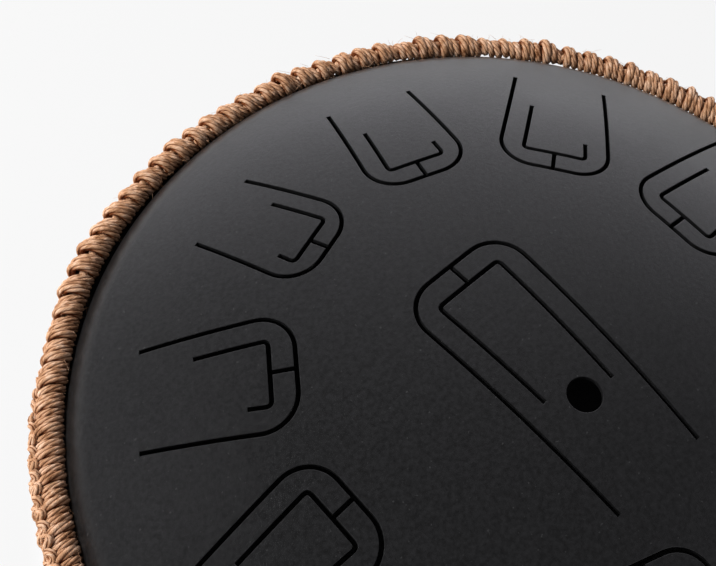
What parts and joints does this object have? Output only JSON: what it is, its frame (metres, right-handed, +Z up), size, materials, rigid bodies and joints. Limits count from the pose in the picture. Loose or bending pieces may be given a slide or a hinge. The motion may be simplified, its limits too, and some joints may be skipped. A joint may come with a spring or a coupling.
{
  "type": "tongue drum",
  "caption": "Round steel tongue drum: a domed top cut into sprung tongues over a pressed bowl with a sound port, a wound jute cord round the rim and rubber feet.",
  "frame": {"origin": "on the ground, under the middle of the drum", "axes": "+Z up along the drum's axis, +Y away from the player along the centre tongue towards its free end, +X to the player's right"},
  "size_m": [0.35, 0.35, 0.136],
  "materials": {
    "powder_coat": "satin black powder coat with a fine grain",
    "jute": "matte plied jute twine",
    "rubber": "matte black rubber"
  },
  "bodies": {
    "drum": {"top_shell": "powder_coat", "bottom_shell": "powder_coat", "rope_core": "jute", "rope_winding": "jute", "foot_1": "rubber", "foot_2": "rubber", "foot_3": "rubber", "foot_4": "rubber"},
    "tongue_01": {"tongue_01": "powder_coat"},
    "tongue_02": {"tongue_02": "powder_coat"},
    "tongue_03": {"tongue_03": "powder_coat"},
    "tongue_04": {"tongue_04": "powder_coat"},
    "tongue_05": {"tongue_05": "powder_coat"},
    "tongue_06": {"tongue_06": "powder_coat"},
    "tongue_07": {"tongue_07": "powder_coat"},
    "tongue_08": {"tongue_08": "powder_coat"},
    "tongue_09": {"tongue_09": "powder_coat"},
    "tongue_10": {"tongue_10": "powder_coat"},
    "tongue_centre": {"tongue_centre": "powder_coat"}
  },
  "joints": [
    {"name": "tongue_01_flex", "type": "hinge", "parent": "drum", "child": "tongue_01", "pos_m": [-0.03898, 0.11998, 0.10945], "axis": [-0.9511, -0.309, 0], "range_deg": [-0.4, 0.4], "stiffness_Nm_per_rad": 214},
    {"name": "tongue_02_flex", "type": "hinge", "parent": "drum", "child": "tongue_02", "pos_m": [0.04013, 0.12349, 0.10786], "axis": [-0.9511, 0.309, 0], "range_deg": [-0.4, 0.4], "stiffness_Nm_per_rad": 212},
    {"name": "tongue_03_flex", "type": "hinge", "parent": "drum", "child": "tongue_03", "pos_m": [-0.10804, 0.0785, 0.10621], "axis": [-0.5878, -0.809, 0], "range_deg": [-0.4, 0.4], "stiffness_Nm_per_rad": 210},
    {"name": "tongue_04_flex", "type": "hinge", "parent": "drum", "child": "tongue_04", "pos_m": [0.11104, 0.08067, 0.1045], "axis": [-0.5878, 0.809, 0], "range_deg": [-0.4, 0.4], "stiffness_Nm_per_rad": 198},
    {"name": "tongue_05_flex", "type": "hinge", "parent": "drum", "child": "tongue_05", "pos_m": [-0.14095, 0, 0.10273], "axis": [0, -1, 0], "range_deg": [-0.4, 0.4], "stiffness_Nm_per_rad": 186},
    {"name": "tongue_06_flex", "type": "hinge", "parent": "drum", "child": "tongue_06", "pos_m": [0.14465, 0, 0.10091], "axis": [0, 1, 0], "range_deg": [-0.4, 0.4], "stiffness_Nm_per_rad": 176},
    {"name": "tongue_07_flex", "type": "hinge", "parent": "drum", "child": "tongue_07", "pos_m": [-0.12002, -0.0872, 0.09903], "axis": [0.5878, -0.809, 0], "range_deg": [-0.4, 0.4], "stiffness_Nm_per_rad": 166},
    {"name": "tongue_08_flex", "type": "hinge", "parent": "drum", "child": "tongue_08", "pos_m": [0.12083, -0.08779, 0.09851], "axis": [0.5878, 0.809, 0], "range_deg": [-0.4, 0.4], "stiffness_Nm_per_rad": 164},
    {"name": "tongue_09_flex", "type": "hinge", "parent": "drum", "child": "tongue_09", "pos_m": [-0.04615, -0.14204, 0.09851], "axis": [0.9511, -0.309, 0], "range_deg": [-0.4, 0.4], "stiffness_Nm_per_rad": 164},
    {"name": "tongue_10_flex", "type": "hinge", "parent": "drum", "child": "tongue_10", "pos_m": [0.04615, -0.14204, 0.09851], "axis": [0.9511, 0.309, 0], "range_deg": [-0.4, 0.4], "stiffness_Nm_per_rad": 164},
    {"name": "tongue_centre_flex", "type": "hinge", "parent": "drum", "child": "tongue_centre", "pos_m": [0, -0.05995, 0.12949], "axis": [1, 0, 0], "range_deg": [-0.4, 0.4], "stiffness_Nm_per_rad": 132}
  ]
}
